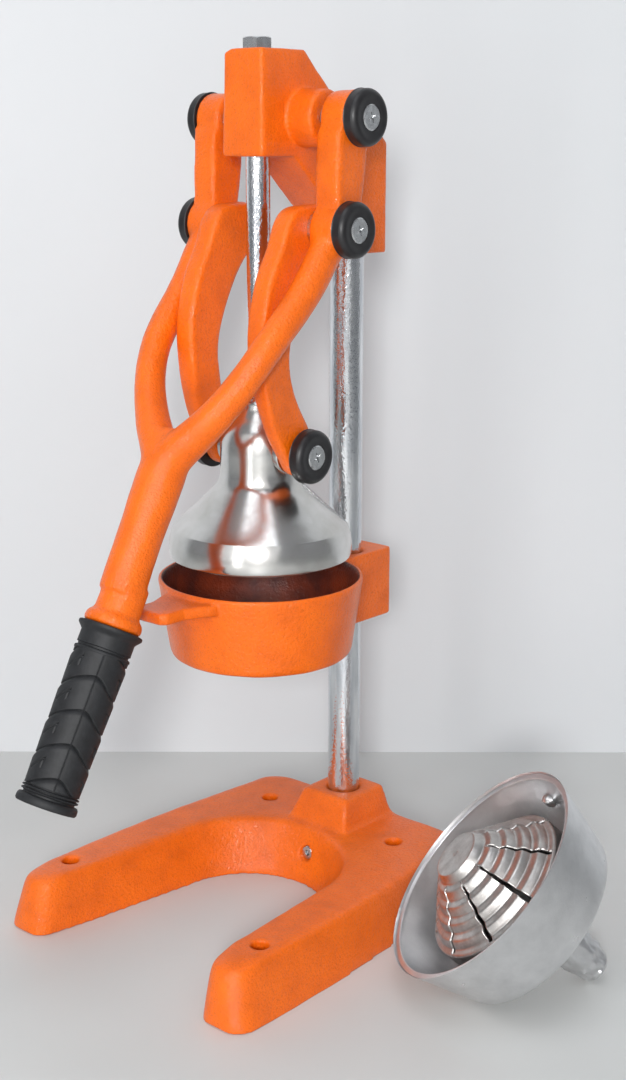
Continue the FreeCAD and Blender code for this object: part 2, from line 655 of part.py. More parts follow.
floor_depth = cup_wall_depth - cup_wall
cup = turned([
    (cup_rim_radius - 0.8, 0), (cup_rim_radius, -1.0), (cup_shoulder_radius, -shoulder_depth),
    (cup_shoulder_radius - 1.1 * cup_shoulder_round, -cup_wall_depth), (spout_root_radius + 8.0, 2.0 - root_depth), (spout_root_radius, -root_depth),
    (spout_end_radius, -spout_depth), (spout_bore, -spout_depth),
    (spout_bore, -root_depth + 2.0), (cup_inside(floor_depth), -floor_depth), (cup_inside(0) + 0.4, 0),
])
for side in (0, 180):
    lug_in = cup_inside(cup_lug_depth) - 3.6
    lug = Part.makeBox(6.2, cup_lug, cup_lug, V(lug_in, -cup_lug / 2, -cup_lug_depth - cup_lug / 2))
    lug.rotate(V(0, 0, 0), V(0, 0, 1), cup_lug_angle + side)
    lug = lug.common(Part.makeCone(cup_inside(40) + 1.5, cup_inside(0) + 1.5, 40, V(0, 0, -40)))
    cup = cup.fuse(lug)
cup = cup.removeSplitter()
save("cup", placed(cup, cup_centre, cup_axis))

riser = (strainer_top + strainer_foot) / strainer_steps
tread = (strainer_radius - strainer_top_radius) / strainer_steps
outer = [(0, strainer_top), (strainer_top_radius - 1.0, strainer_top), (strainer_top_radius, strainer_top - 0.8)]
for i in range(strainer_steps):
    r = strainer_top_radius + i * tread
    z = strainer_top - i * riser
    outer.append((r + 0.42 * tread, z - 0.88 * riser))
    outer.append((r + tread - 0.6, z - riser + 0.4))
outer.append((strainer_radius, -strainer_foot))
flange_radius = cup_inside(strainer_skirt_foot) - part_gap - 0.1
outer += [(strainer_radius, strainer_flange - strainer_skirt_foot), (flange_radius, strainer_flange - strainer_skirt_foot), (flange_radius, -strainer_skirt_foot)]
inner = [(strainer_radius - strainer_wall, -strainer_skirt_foot)]
for i in range(strainer_steps, 0, -1):
    r = strainer_top_radius + i * tread - strainer_wall
    z = strainer_top - i * riser
    inner.append((r, z - 1.4))
    inner.append((r - 0.45 * tread, z + 0.1 * riser - 1.4))
inner += [(strainer_top_radius - strainer_wall, strainer_top - 2.6), (0, strainer_top - 2.6)]
strainer = turned(outer + inner)
slot_in = strainer_top_radius + 3.0
for i in range(slot_count):
    slot = Part.makeBox(strainer_radius - slot_in - 1.5, slot_width, strainer_top + 6.0, V(slot_in, -slot_width / 2, -6.0))
    slot.rotate(V(0, 0, 0), V(0, 0, 1), slot_turn + i * 360.0 / slot_count)
    strainer = strainer.cut(slot)
save("strainer", placed(strainer, cup_centre, cup_axis))
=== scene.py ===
# %% [markdown]
# # A lever citrus press, dressed for rendering
# The press is a set of orange enamelled iron castings on a chromed column, with
# a polished aluminium bell, a loose cup, black knobs and a rubber grip. The
# solids come from the CAD model, so the first step loads them as a frame that
# is never moved. Everything made here is in metres and rides on that frame.

# %% Load the frame
import json
import math

import bmesh
import bpy
import numpy as np
from mathutils import Matrix, Vector, noise

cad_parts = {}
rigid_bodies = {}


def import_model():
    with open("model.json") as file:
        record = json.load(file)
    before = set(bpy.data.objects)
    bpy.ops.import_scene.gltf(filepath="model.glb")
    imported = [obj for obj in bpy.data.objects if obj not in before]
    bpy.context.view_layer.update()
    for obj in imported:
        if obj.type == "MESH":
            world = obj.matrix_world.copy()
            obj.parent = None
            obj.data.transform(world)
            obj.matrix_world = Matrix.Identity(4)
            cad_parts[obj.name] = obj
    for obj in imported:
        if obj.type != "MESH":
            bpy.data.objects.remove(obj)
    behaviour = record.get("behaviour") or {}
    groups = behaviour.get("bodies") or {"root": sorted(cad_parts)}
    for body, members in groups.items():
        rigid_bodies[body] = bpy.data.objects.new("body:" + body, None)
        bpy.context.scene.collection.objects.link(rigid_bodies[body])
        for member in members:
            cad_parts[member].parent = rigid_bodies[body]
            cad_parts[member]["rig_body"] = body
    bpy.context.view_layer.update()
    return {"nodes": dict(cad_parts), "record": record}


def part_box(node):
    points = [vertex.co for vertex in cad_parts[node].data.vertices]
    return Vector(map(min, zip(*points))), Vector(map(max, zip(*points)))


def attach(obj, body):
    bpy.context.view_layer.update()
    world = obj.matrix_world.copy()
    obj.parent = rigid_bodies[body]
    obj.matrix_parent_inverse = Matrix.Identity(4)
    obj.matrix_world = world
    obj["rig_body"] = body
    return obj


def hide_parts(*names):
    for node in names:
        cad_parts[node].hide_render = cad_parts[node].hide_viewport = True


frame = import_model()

MM = 0.001
rod_y = -83.6 * MM
print("solids loaded:", len(frame["nodes"]))

# %% [markdown]
# ## The camera
# The viewing position was worked out from the straight edges of the column, the
# round ring and the pivots. A camera's own axes are right, up and backwards, so
# the three directions are the columns of its rotation. The lens is for a 36 mm
# sensor along the picture's long side.

# %% Camera
right = Vector((0.75279, 0.65825, 0.00157))
up = Vector((-0.16163, 0.18253, 0.96982))
back = Vector((0.63810, -0.73033, 0.24380))
camera_data = bpy.data.cameras.new("camera")
camera_data.sensor_width = 36.0
camera_data.lens = 52.03
camera_data.clip_start = 0.05
camera = bpy.data.objects.new("camera", camera_data)
bpy.context.scene.collection.objects.link(camera)
turn = Matrix((right, up, back)).transposed().to_4x4()
camera_place = Vector((0.657735, -0.785734, 0.492711))
camera.matrix_world = Matrix.Translation(camera_place) @ turn
bpy.context.scene.camera = camera
bpy.context.scene.view_settings.view_transform = "Standard"

# %% [markdown]
# ## Colours and nodes
# A colour picked from a picture is an sRGB hex value, while a shader works in
# linear light, so one function turns one into the other. A second one adds any
# node: it sets the node's fields, places a ramp's stops, and fills or wires the
# inputs. Noise asks for blotches per metre, so a size in mm is turned over.


# %% Colour and node helpers
def linear(code):
    parts = [int(code[i:i + 2], 16) / 255 for i in (0, 2, 4)]
    return tuple(c / 12.92 if c <= 0.04045 else ((c + 0.055) / 1.055) ** 2.4 for c in parts) + (1.0,)


def per_metre(size_mm):
    return 1 / (size_mm * MM)


def add(tree, kind, inputs=None, stops=(), **fields):
    node = tree.nodes.new(kind)
    for field, value in fields.items():
        setattr(node, field, value)
    for k, (where, value) in enumerate(stops):
        elements = node.color_ramp.elements
        stop = elements[k] if k < 2 else elements.new(where)
        stop.position = where
        stop.color = value if isinstance(value, tuple) else (value, value, value, 1)
    for socket, value in (inputs or {}).items():
        if isinstance(value, bpy.types.Node):
            value = value.outputs[0]
        if isinstance(value, bpy.types.NodeSocket):
            tree.links.new(value, node.inputs[socket])
        else:
            node.inputs[socket].default_value = value
    return node


def new_finish(name, **inputs):
    material = bpy.data.materials.new(name)
    material.use_nodes = True
    tree = material.node_tree
    tree.nodes.clear()
    shader = add(tree, "ShaderNodeBsdfPrincipled", {k.replace("_", " "): v for k, v in inputs.items()})
    add(tree, "ShaderNodeOutputMaterial", {"Surface": shader})
    place = add(tree, "ShaderNodeTexCoord").outputs["Object"]
    return material, tree, shader, place


def wire(tree, shader, **sources):
    for socket, node in sources.items():
        tree.links.new(node.outputs[0], shader.inputs[socket.replace("_", " ")])


# %% [markdown]
# ## Orange stove enamel on cast iron
# The castings are shot-blasted iron under a thick sprayed coat that was baked.
# It gives a saturated orange with a half gloss, and the coat has drawn up into
# small dimples (orange peel) that break each highlight into sparks. Tiny darker
# specks show where the iron's sand texture comes through. The gloss is a thin
# coat over a duller colour, and the peel is bump at about 2 mm. The ring's
# inside wall gets painted shade, a mottled dark brown where the real wall lies
# in shadow, picked by its distance from the bell's axis, less the slant of the
# wall. The ring widens upwards by its slant, and the painted shade ends within the thickness of its rim.

# %% Ring wall
ring_slant = 0.147
# Where the painted shade on the ring's inside wall fades out, as a slanted distance from the bell's axis.
inside_shade_ends = (29.4 * MM, 30.1 * MM)


# %% Orange enamel
def enamel(name, painted_shade_inside=False):
    material, tree, shader, place = new_finish(
        name, Roughness=0.5, Specular_IOR_Level=0.3, Coat_Weight=0.45, Coat_Roughness=0.05,
        Coat_IOR=1.5, IOR=1.45,
    )
    blotch = add(tree, "ShaderNodeTexNoise", {"Vector": place, "Scale": per_metre(18), "Detail": 4.0})
    body = add(
        tree, "ShaderNodeValToRGB", {0: blotch},
        [(0.30, linear("E36303")), (0.50, linear("F06A03")), (0.70, linear("F66F03"))],
    )
    sand = add(
        tree, "ShaderNodeTexNoise",
        {"Vector": place, "Scale": per_metre(1.1), "Detail": 3.0, "Roughness": 0.7},
    )
    speck = add(tree, "ShaderNodeValToRGB", {0: sand}, [(0.32, 0.7), (0.48, 0.0)])
    colour = add(tree, "ShaderNodeMix", {"Factor": speck, 6: body, 7: linear("CE5806")}, data_type="RGBA").outputs[2]
    # Painted shade: the ring's inside wall is mixed towards a mottled dark brown where the real wall lies in shadow.
    if painted_shade_inside:
        from_axis = add(tree, "ShaderNodeVectorMath", {0: place, 1: (0, rod_y, 0)}, operation="SUBTRACT")
        flat = add(tree, "ShaderNodeVectorMath", {0: from_axis, 1: (1, 1, 0)}, operation="MULTIPLY")
        reach = add(tree, "ShaderNodeVectorMath", {0: flat}, operation="LENGTH").outputs[1]
        height = add(tree, "ShaderNodeSeparateXYZ", {0: place}).outputs[2]
        slanted = add(tree, "ShaderNodeMath", {0: height, 1: -ring_slant, 2: reach}, operation="MULTIPLY_ADD")
        inside = add(
            tree, "ShaderNodeMapRange",
            {
                "Value": slanted, "From Min": inside_shade_ends[0], "From Max": inside_shade_ends[1], "To Min": 1.0,
                "To Max": 0.0,
            },
        )
        inside_shade_colour = add(
            tree, "ShaderNodeValToRGB", {0: blotch},
            [(0.35, linear("4A1608")), (0.65, linear("7A2A08"))],
        )
        colour = add(tree, "ShaderNodeMix", {"Factor": inside, 6: colour, 7: inside_shade_colour}, data_type="RGBA").outputs[2]
    tree.links.new(colour, shader.inputs["Base Color"])
    peel = add(tree, "ShaderNodeTexNoise", {"Vector": place, "Scale": per_metre(2.2), "Detail": 1.5})
    dimples = add(tree, "ShaderNodeBump", {"Height": peel, "Distance": 0.55 * MM, "Strength": 1.0})
    grit = add(
        tree, "ShaderNodeBump",
        {"Height": sand, "Distance": 0.30 * MM, "Strength": 1.0, "Normal": dimples},
    )
    wire(tree, shader, Normal=grit, Coat_Normal=grit)
    return material


orange_enamel = enamel("orange_enamel_on_cast_iron")
# A copy for the ring, with painted shade on its inside wall.
enamel_with_painted_shade = enamel("orange_enamel_painted_shade_inside", True)

# %% [markdown]
# ## Chromed steel bar
# The column and the rod are drawn steel bar under bright plating. The plating
# mirrors the room, but the drawn surface below leaves fine lengthwise pits, so
# the mirror breaks up into a vertical mottle. Real chrome is a metal that
# reflects about two thirds of the light, with very low roughness.

# %% Chrome
chrome_bar, tree, shader, place = new_finish("chromed_drawn_steel", Metallic=1.0, Roughness=0.1)
pitted = add(tree, "ShaderNodeMapping", {"Vector": place, "Scale": (1, 1, 0.55)})
pits = add(
    tree, "ShaderNodeTexNoise",
    {"Vector": pitted, "Scale": per_metre(1.4), "Detail": 2.0, "Roughness": 0.55},
)
drawn = add(tree, "ShaderNodeMapping", {"Vector": place, "Scale": (1, 1, 0.12)})
streaks = add(tree, "ShaderNodeTexNoise", {"Vector": drawn, "Scale": per_metre(5.0), "Detail": 2.0})
pit_bump = add(tree, "ShaderNodeBump", {"Height": pits, "Distance": 0.26 * MM, "Strength": 1.0})
streak_bump = add(
    tree, "ShaderNodeBump",
    {"Height": streaks, "Distance": 0.07 * MM, "Strength": 1.0, "Normal": pit_bump},
)
tone = add(tree, "ShaderNodeValToRGB", {0: streaks}, [(0.35, linear("C6C9CE")), (0.65, linear("E8E9EB"))])
wire(tree, shader, Base_Color=tone, Normal=streak_bump)

# %% [markdown]
# ## Lathe-turned aluminium
# The bell is cast, turned on a lathe and buffed. The cutter leaves rings a
# fraction of a millimetre apart. They scatter light up and down more than
# round the bell, so its highlights stretch from neck to rim, which is what the
# anisotropic setting draws along a tangent that runs round the axis. Juice and
# hands leave cloudy patches that are a little duller.

# %% Polished bell metal
bell_metal, tree, shader, place = new_finish(
    "turned_and_buffed_aluminium", Metallic=1.0, Anisotropic=0.3, Anisotropic_Rotation=0.25,
)
height = add(tree, "ShaderNodeSeparateXYZ", {0: place}).outputs[2]
ring_lines = add(
    tree, "ShaderNodeTexNoise", {"W": height, "Scale": per_metre(0.55), "Detail": 2.0},
    noise_dimensions="1D",
)
cloud = add(
    tree, "ShaderNodeTexNoise",
    {"Vector": place, "Scale": per_metre(16), "Detail": 4.0, "Roughness": 0.6},
)
dull = add(tree, "ShaderNodeValToRGB", {0: cloud}, [(0.3, 0.17), (0.7, 0.27)])
tone = add(tree, "ShaderNodeValToRGB", {0: cloud}, [(0.3, linear("DAD9D7")), (0.7, linear("C6C4C0"))])
line_bump = add(tree, "ShaderNodeBump", {"Height": ring_lines, "Distance": 0.010 * MM, "Strength": 1.0})
dents = add(tree, "ShaderNodeTexNoise", {"Vector": place, "Scale": per_metre(2.2), "Detail": 2.0})
dent_bump = add(
    tree, "ShaderNodeBump",
    {"Height": dents, "Distance": 0.003 * MM, "Strength": 1.0, "Normal": line_bump},
)
around_axis = add(tree, "ShaderNodeTangent", direction_type="RADIAL", axis="Z")
wire(tree, shader, Roughness=dull, Base_Color=tone, Normal=dent_bump, Tangent=around_axis)

# %% [markdown]
# ## Satin and tumbled aluminium
# The cup is the same metal, left with a satin surface: its tiny grain spreads
# the light, so it shows soft broad bands, not a mirror. The strainer was
# tumbled bright, so its steps mirror a little more, over small dents.

# %% Cup and strainer metals
cup_metal, tree, shader, place = new_finish("satin_cast_aluminium", Metallic=1.0)
cloud = add(
    tree, "ShaderNodeTexNoise",
    {"Vector": place, "Scale": per_metre(24), "Detail": 4.0, "Roughness": 0.6},
)
dull = add(tree, "ShaderNodeValToRGB", {0: cloud}, [(0.3, 0.27), (0.7, 0.40)])
tone = add(tree, "ShaderNodeValToRGB", {0: cloud}, [(0.3, linear("E4E4E5")), (0.7, linear("CECECF"))])
grains = add(
    tree, "ShaderNodeTexNoise",
    {"Vector": place, "Scale": per_metre(1.5), "Detail": 3.0, "Roughness": 0.7},
)
grain_bump = add(tree, "ShaderNodeBump", {"Height": grains, "Distance": 0.10 * MM, "Strength": 1.0})
wire(tree, shader, Roughness=dull, Base_Color=tone, Normal=grain_bump)

strainer_metal, tree, shader, place = new_finish("tumbled_bright_aluminium", Metallic=1.0)
cloud = add(
    tree, "ShaderNodeTexNoise",
    {"Vector": place, "Scale": per_metre(9), "Detail": 4.0, "Roughness": 0.65},
)
dull = add(tree, "ShaderNodeValToRGB", {0: cloud}, [(0.35, 0.28), (0.7, 0.44)])
tone = add(tree, "ShaderNodeValToRGB", {0: cloud}, [(0.3, linear("CDCAC7")), (0.7, linear("A8A4A1"))])
grains = add(
    tree, "ShaderNodeTexNoise",
    {"Vector": place, "Scale": per_metre(1.2), "Detail": 3.0, "Roughness": 0.7},
)
grain_bump = add(tree, "ShaderNodeBump", {"Height": grains, "Distance": 0.08 * MM, "Strength": 1.0})
dents = add(tree, "ShaderNodeTexNoise", {"Vector": place, "Scale": per_metre(6), "Detail": 2.0})
dent_bump = add(
    tree, "ShaderNodeBump",
    {"Height": dents, "Distance": 0.14 * MM, "Strength": 1.0, "Normal": grain_bump},
)
wire(tree, shader, Roughness=dull, Base_Color=tone, Normal=dent_bump)

# %% [markdown]
# ## Black plastic, rubber and zinc
# The knobs are moulded plastic with a slight satin sheen. The grip is softer
# rubber: greyer, duller and dusty. The screws and the bolt are zinc plated
# steel, which is a bright but slightly milky metal.


# %% Plastic, rubber, zinc
def dusty_black(name, roughness, dark, pale, dust_mm, grain_mm, depth_mm):
    material, tree, shader, place = new_finish(name, Roughness=roughness, IOR=1.5)
    dust = add(
        tree, "ShaderNodeTexNoise",
        {"Vector": place, "Scale": per_metre(dust_mm), "Detail": 4.0, "Roughness": 0.7},
    )
    tone = add(tree, "ShaderNodeValToRGB", {0: dust}, [(0.35, linear(dark)), (0.75, linear(pale))])
    skin = add(tree, "ShaderNodeTexNoise", {"Vector": place, "Scale": per_metre(grain_mm), "Detail": 2.0})
    bump = add(tree, "ShaderNodeBump", {"Height": skin, "Distance": depth_mm * MM, "Strength": 1.0})
    wire(tree, shader, Base_Color=tone, Normal=bump)
    return material


knob_plastic = dusty_black("moulded_black_plastic", 0.40, "161517", "262527", 7, 0.7, 0.03)
grip_rubber = dusty_black("moulded_black_rubber", 0.60, "131416", "232427", 5, 0.8, 0.06)

zinc_steel, tree, shader, place = new_finish("zinc_plated_steel", Metallic=1.0)
mottle = add(tree, "ShaderNodeTexNoise", {"Vector": place, "Scale": per_metre(2.5), "Detail": 3.0})
dull = add(tree, "ShaderNodeValToRGB", {0: mottle}, [(0.3, 0.16), (0.7, 0.32)])
tone = add(tree, "ShaderNodeValToRGB", {0: mottle}, [(0.3, linear("E0E1E2")), (0.7, linear("BEBFC0"))])
skin = add(tree, "ShaderNodeTexNoise", {"Vector": place, "Scale": per_metre(0.6), "Detail": 2.0})
bump = add(tree, "ShaderNodeBump", {"Height": skin, "Distance": 0.02 * MM, "Strength": 1.0})
wire(tree, shader, Roughness=dull, Base_Color=tone, Normal=bump)

finishes = {
    "orange_enamel": orange_enamel, "chrome_bar": chrome_bar, "polished_aluminium": bell_metal,
    "cast_aluminium": cup_metal, "bright_aluminium": strainer_metal, "black_plastic": knob_plastic,
    "grip_rubber": grip_rubber, "zinc_steel": zinc_steel,
}
slots = {row["node"]: row["material_slot"] for row in frame["record"]["subparts"]}
for name, node in frame["nodes"].items():
    node.data.materials.clear()
    node.data.materials.append(finishes[slots[name]])
print("finishes:", sorted(finishes))

# %% [markdown]
# ## Putting a finished piece in place
# Every new mesh is made where it belongs, then rides on a body of the frame and
# takes the finish of the solid it stands for; that solid is hidden unless the piece is extra.


# %% Piece helper
def piece(name, mesh, stands_for, extra_body=None):
    obj = bpy.data.objects.new(name, mesh)
    bpy.context.scene.collection.objects.link(obj)
    body = extra_body or frame["nodes"][stands_for]["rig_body"]
    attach(obj, body)
    if extra_body is None:
        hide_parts(stands_for)
    mesh.materials.clear()
    mesh.materials.append(finishes[slots[stands_for]])
    return obj


# %% [markdown]
# ## Castings
# Sand castings have no sharp edges: the pattern has radii, the sand softens
# them, and the coat rounds them again. A quick way to get that everywhere at
# once is to rebuild the solid's skin as an even grid (voxel remesh), and then
# let every point drift towards its neighbours' middle a number of times. A
# weight per point says how far an edge melts: little where a knob sits on a
# hub, a lot along an arm. Slow noise then gives a casting's uneven faces.


# %% Cast skins
def near(value, low, high):
    """0 below low, 1 above high, eased between."""
    t = np.clip((value - low) / (high - low), 0, 1)
    return t * t * (3 - 2 * t)


plug_radius, plug_depth = 9 * MM, 5 * MM


def cast_skin(node_name, voxel_mm, relax, weigh=None, reshape=None, wave_mm=0.18, wave_size_mm=14, plug=None):
    """Rebuilds a solid's skin with melted edges. plug is a point where a blind pin's hole is filled."""
    source = frame["nodes"][node_name]
    work = bpy.data.objects.new("work", source.data.copy())
    if plug:
        filled = bmesh.new()
        filled.from_mesh(work.data)
        place = Matrix.Translation(plug) @ Matrix.Rotation(math.pi / 2, 4, "Y")
        bmesh.ops.create_cone(
            filled, cap_ends=True, segments=48, radius1=plug_radius, radius2=plug_radius,
            depth=plug_depth, matrix=place,
        )
        filled.to_mesh(work.data)
        filled.free()
    bpy.context.scene.collection.objects.link(work)
    remesh = work.modifiers.new("grid", "REMESH")
    remesh.mode = "VOXEL"
    remesh.voxel_size = voxel_mm * MM
    bpy.context.view_layer.update()
    skin = bpy.data.meshes.new_from_object(work.evaluated_get(bpy.context.evaluated_depsgraph_get()))
    bpy.data.objects.remove(work)
    count = len(skin.vertices)
    points = np.empty(count * 3)
    skin.vertices.foreach_get("co", points)
    points = points.reshape(-1, 3) / MM
    pairs = np.empty(len(skin.edges) * 2, dtype=int)
    skin.edges.foreach_get("vertices", pairs)
    a, b = pairs[0::2], pairs[1::2]
    links_per_point = np.bincount(a, minlength=count) + np.bincount(b, minlength=count)
    if reshape:
        points = reshape(points)
    pull = np.full(count, 0.5) if weigh is None else 0.5 * weigh(points)
    for _ in range(relax):
        middle = np.empty_like(points)
        for axis in range(3):
            middle[:, axis] = np.bincount(a, points[b, axis], count) + np.bincount(b, points[a, axis], count)
        middle /= links_per_point[:, None]
        points += (middle - points) * pull[:, None]
    skin.vertices.foreach_set("co", (points * MM).ravel())
    skin.update()
    normals = np.empty(count * 3)
    skin.vertices.foreach_get("normal", normals)
    lift = np.array([noise.noise(Vector(p) / wave_size_mm) for p in points]) * wave_mm
    points += normals.reshape(-1, 3) * lift[:, None]
    points[:, 2] = np.maximum(points[:, 2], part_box(node_name)[0].z / MM)
    skin.vertices.foreach_set("co", (points * MM).ravel())
    skin.shade_smooth()
    skin.name = node_name + "_cast"
    print(node_name, "skin:", count, "points")
    return piece(node_name + "_cast", skin, node_name)


# %% [markdown]
# ## Base and head
# The base's legs end in soft noses, so its edges melt more than the rest, and
# the noses most of all. The head is a crisper casting: its block keeps its
# planes, and the cross boss that carries the arms has a rounded end. Places in
# these steps are in mm, measured on the solids: the cross shaft, the elbow, the
# four bolt holes and the mouth of the set screw.

# %% Base and head
coarse = 1.0
shaft_y, shaft_z = rod_y / MM + 23.3, 509.7
elbow_y, elbow_z = rod_y / MM + 13.5, 445.8
hole_places = [(side * x, y) for side in (-1, 1) for x, y in ((85.5, -177.6), (56.7, -15.2))]
set_screw_height = 19.0


def base_weights(p):
    """Soft above the table, less so at the boss, and crisp round the holes."""
    boss = (np.abs(p[:, 0]) < 27) & (p[:, 1] > -32) & (p[:, 2] > 36)
    nose = near(-p[:, 1], 185, 205)
    out = np.where(boss, 0.10, 0.28 + 0.72 * nose) * near(p[:, 2], -1.0, 3.0)
    hole = np.min([np.hypot(p[:, 0] - x, p[:, 1] - y) for x, y in hole_places], axis=0)
    mouth = np.where(p[:, 1] < -20, np.hypot(p[:, 0], p[:, 2] - set_screw_height), 99)
    return out * (0.05 + 0.95 * near(np.minimum(hole, mouth), 7.2, 11.0))


def head_weights(p):
    """Soft on the ends of the cross boss, crisp on the block."""
    round_boss = (np.hypot(p[:, 1] - shaft_y, p[:, 2] - shaft_z) < 22) & (np.abs(p[:, 0]) > 30)
    return np.where(round_boss, 0.9, 0.3)


def lean(p):
    """The block's left side leans in towards its top, and that top corner is knocked down."""
    q = p.copy()
    left = near(-p[:, 0], 8, 16) * (p[:, 0] > -17.5)
    front = 1 - near(p[:, 1], rod_y / MM + 8, rod_y / MM + 30)
    q[:, 0] += 1.9 * left * front * near(p[:, 2], 488, 549)
    front_left = near(-p[:, 0], 7, 17) * (1 - near(p[:, 1], rod_y / MM - 14, rod_y / MM + 2))
    q[:, 2] -= 2.2 * (front_left * near(p[:, 2], 543, 549))
    return q


cast_skin("base", 1.25 * coarse, 96, base_weights, None, 0.3, 20)
cast_skin("head", 1.0 * coarse, 14, head_weights, lean)
ring_skin = cast_skin("ring_holder", 0.9 * coarse, 8)
# The ring takes the enamel with painted shade on its inside wall.
ring_skin.data.materials[0] = enamel_with_painted_shade

# %% [markdown]
# ## Handle
# The arms have broad round edges, while the hub faces that the knobs sit on and
# the collar over the grip stay crisp. The weights say which is which.


# %% Handle
def handle_weights(p):
    """Soft arms, a firmer lower stem, and crisp hub faces and collar."""
    x = np.abs(p[:, 0])
    hub = np.minimum(
        np.hypot(p[:, 1] - shaft_y, p[:, 2] - shaft_z), np.hypot(p[:, 1] - elbow_y, p[:, 2] - elbow_z),
    )
    out = np.where(p[:, 2] > 432, 1.0, 0.35)
    out = np.where(p[:, 2] < 250, 0.12, out)
    crisp = 1 - (1 - near(x, 54.5, 57.5)) - near(hub, 17.5, 20)
    return np.where(crisp > 0, out * (1 - 0.93 * np.clip(crisp, 0, 1)), out)


cast_skin("handle_fork", 1.0 * coarse, 44, handle_weights)

# %% [markdown]
# ## Links
# Seen from the front, each link is a thick bar at its elbow end and thins
# towards the bell, where it has to clear the neck. The solid has one thickness,
# so its inner face is drawn inwards here, above the neck. The elbow pin stops
# inside the bar, so a plug closes its hole on the inner face.


# %% Links
def thicken(p):
    """Draws the inner face towards the middle, above the bell's neck."""
    q = p.copy()
    x = np.abs(q[:, 0])
    inner = 1 - near(x, 26.5, 36.0)
    q[:, 0] -= np.sign(q[:, 0]) * 3.6 * inner * near(q[:, 2], 334, 362)
    return q


for side, way in (("right", 1), ("left", -1)):
    blind_end = Vector((way * 28.6, elbow_y, elbow_z)) * MM
    cast_skin("link_" + side, 0.9 * coarse, 14, None, thicken, 0.14, plug=blind_end)


# %% [markdown]
# ## Turned pieces
# The bell, the knobs and the bars were made on a lathe, so they are rebuilt the
# same way: a half profile is swept round an axis. A smooth curve is laid
# through the profile's points, and a point that is written twice stays sharp.


# %% Lathe helpers
def smooth_profile(points, steps=6):
    """Catmull-Rom curve through (radius, height) points in mm."""
    out = []
    for i in range(len(points) - 1):
        p1, p2 = np.array(points[i], float), np.array(points[i + 1], float)
        if np.allclose(p1, p2):
            continue
        p0 = np.array(points[i - 1], float) if i and not np.allclose(points[i - 1], p1) else p1
        p3 = np.array(points[i + 2], float) if i + 2 < len(points) else p2
        if i + 2 < len(points) and np.allclose(p2, p3):
            p3 = p2
        for k in range(steps):
            t = k / steps
            bend, twist = 2 * p0 - 5 * p1 + 4 * p2 - p3, 3 * p1 - p0 - 3 * p2 + p3
            out.append(0.5 * (2 * p1 + (p2 - p0) * t + bend * t * t + twist * t ** 3))
    out.append(np.array(points[-1], float))
    return np.array(out)


def swept(name, profile, origin, axis, around=128, shape=None, sharp=35):
    """Sweeps (radius, height) in mm round an axis. shape may move each point."""
    origin, axis = Vector(origin), Vector(axis).normalized()
    frame_turn = Vector((0, 0, 1)).rotation_difference(axis).to_matrix()
    angles = np.linspace(0, 2 * math.pi, around, endpoint=False)
    mesh = bmesh.new()
    rows = []
    for radius, height in profile:
        if radius < 1e-6:
            rows.append([mesh.verts.new(origin + frame_turn @ Vector((0, 0, height * MM)))])
            continue
        row = []
        for angle in angles:
            r, h = shape(radius, height, angle) if shape else (radius, height)
            spoke = frame_turn @ Vector((r * math.cos(angle), r * math.sin(angle), h))
            row.append(mesh.verts.new(origin + spoke * MM))
        rows.append(row)
    for low, high in zip(rows, rows[1:]):
        for k in range(around):
            n = (k + 1) % around
            if len(low) == 1 and len(high) == 1:
                continue
            if len(low) == 1:
                mesh.faces.new((low[0], high[n], high[k]))
            elif len(high) == 1:
                mesh.faces.new((low[k], low[n], high[0]))
            else:
                mesh.faces.new((low[k], low[n], high[n], high[k]))
    bmesh.ops.recalc_face_normals(mesh, faces=mesh.faces)
    data = bpy.data.meshes.new(name)
    mesh.to_mesh(data)
    mesh.free()
    data.shade_smooth()
    data.set_sharp_from_angle(angle=math.radians(sharp))
    return data


# %% [markdown]
# ## The bars
# The column is 22 mm bar and the rod a little under 15 mm. Each gets a small
# turned chamfer at its end and enough facets for a clean mirror. The rod's top
# end is bored for its bolt.

# %% Column and rod
low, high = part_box("column")
column_length = (high.z - low.z) / MM
column_profile = [(0, 0), (10, 0), (11, 1), (11, column_length - 1), (10, column_length), (0, column_length)]
piece("column_bar", swept("column_bar", column_profile, (0, 0, low.z), (0, 0, 1)), "column")
low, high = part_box("press_rod")
rod_length = (high.z - low.z) / MM
bolt_bore = rod_length - 22
rod_profile = [
    (0, 0), (6.5, 0), (7.3, 0.8), (7.3, rod_length - 0.8), (6.5, rod_length), (5.1, rod_length),
    (5.1, bolt_bore), (0, bolt_bore),
]
piece("press_rod_bar", swept("press_rod_bar", rod_profile, (0, rod_y, low.z), (0, 0, 1)), "press_rod")
print("rod length mm:", round(rod_length, 1))

# %% [markdown]
# ## The bell
# A thick neck flares into a cone, turns over a crisp crease and ends in a short
# rolled band. It is hollow below, where it presses half a fruit on the cone.
# A short round lug on either side of the neck carries the links' pins.

# %% Bell
bell_outer = [
    (54.6, 242.4), (56.6, 242.1), (57.6, 243.4), (58.0, 246.5), (58.0, 249.5), (57.6, 253.5),
    (56.7, 257.6), (55.5, 260.9), (55.5, 260.9),
    (53.2, 263.1), (49.6, 266.4), (44.6, 271.0), (38.0, 277.2), (31.4, 283.9), (27.6, 288.0),
    (25.8, 291.5), (25.1, 296.0),
    (24.9, 303.0), (24.9, 311.0), (24.3, 317.0), (22.4, 322.6), (19.0, 327.4), (15.2, 331.4),
    (12.4, 335.4), (11.2, 338.6),
    (10.4, 339.9), (10.4, 339.9), (7.5, 339.9), (7.5, 339.9), (7.4, 322.0), (0, 322.0),
]
bell_inner = [
    (0, 288.0), (9.0, 286.5), (17.0, 282.0), (26.0, 274.0), (36.0, 265.5), (45.0, 257.0), (50.5, 250.0),
    (52.6, 245.5), (53.4, 243.2), (54.6, 242.4),
]
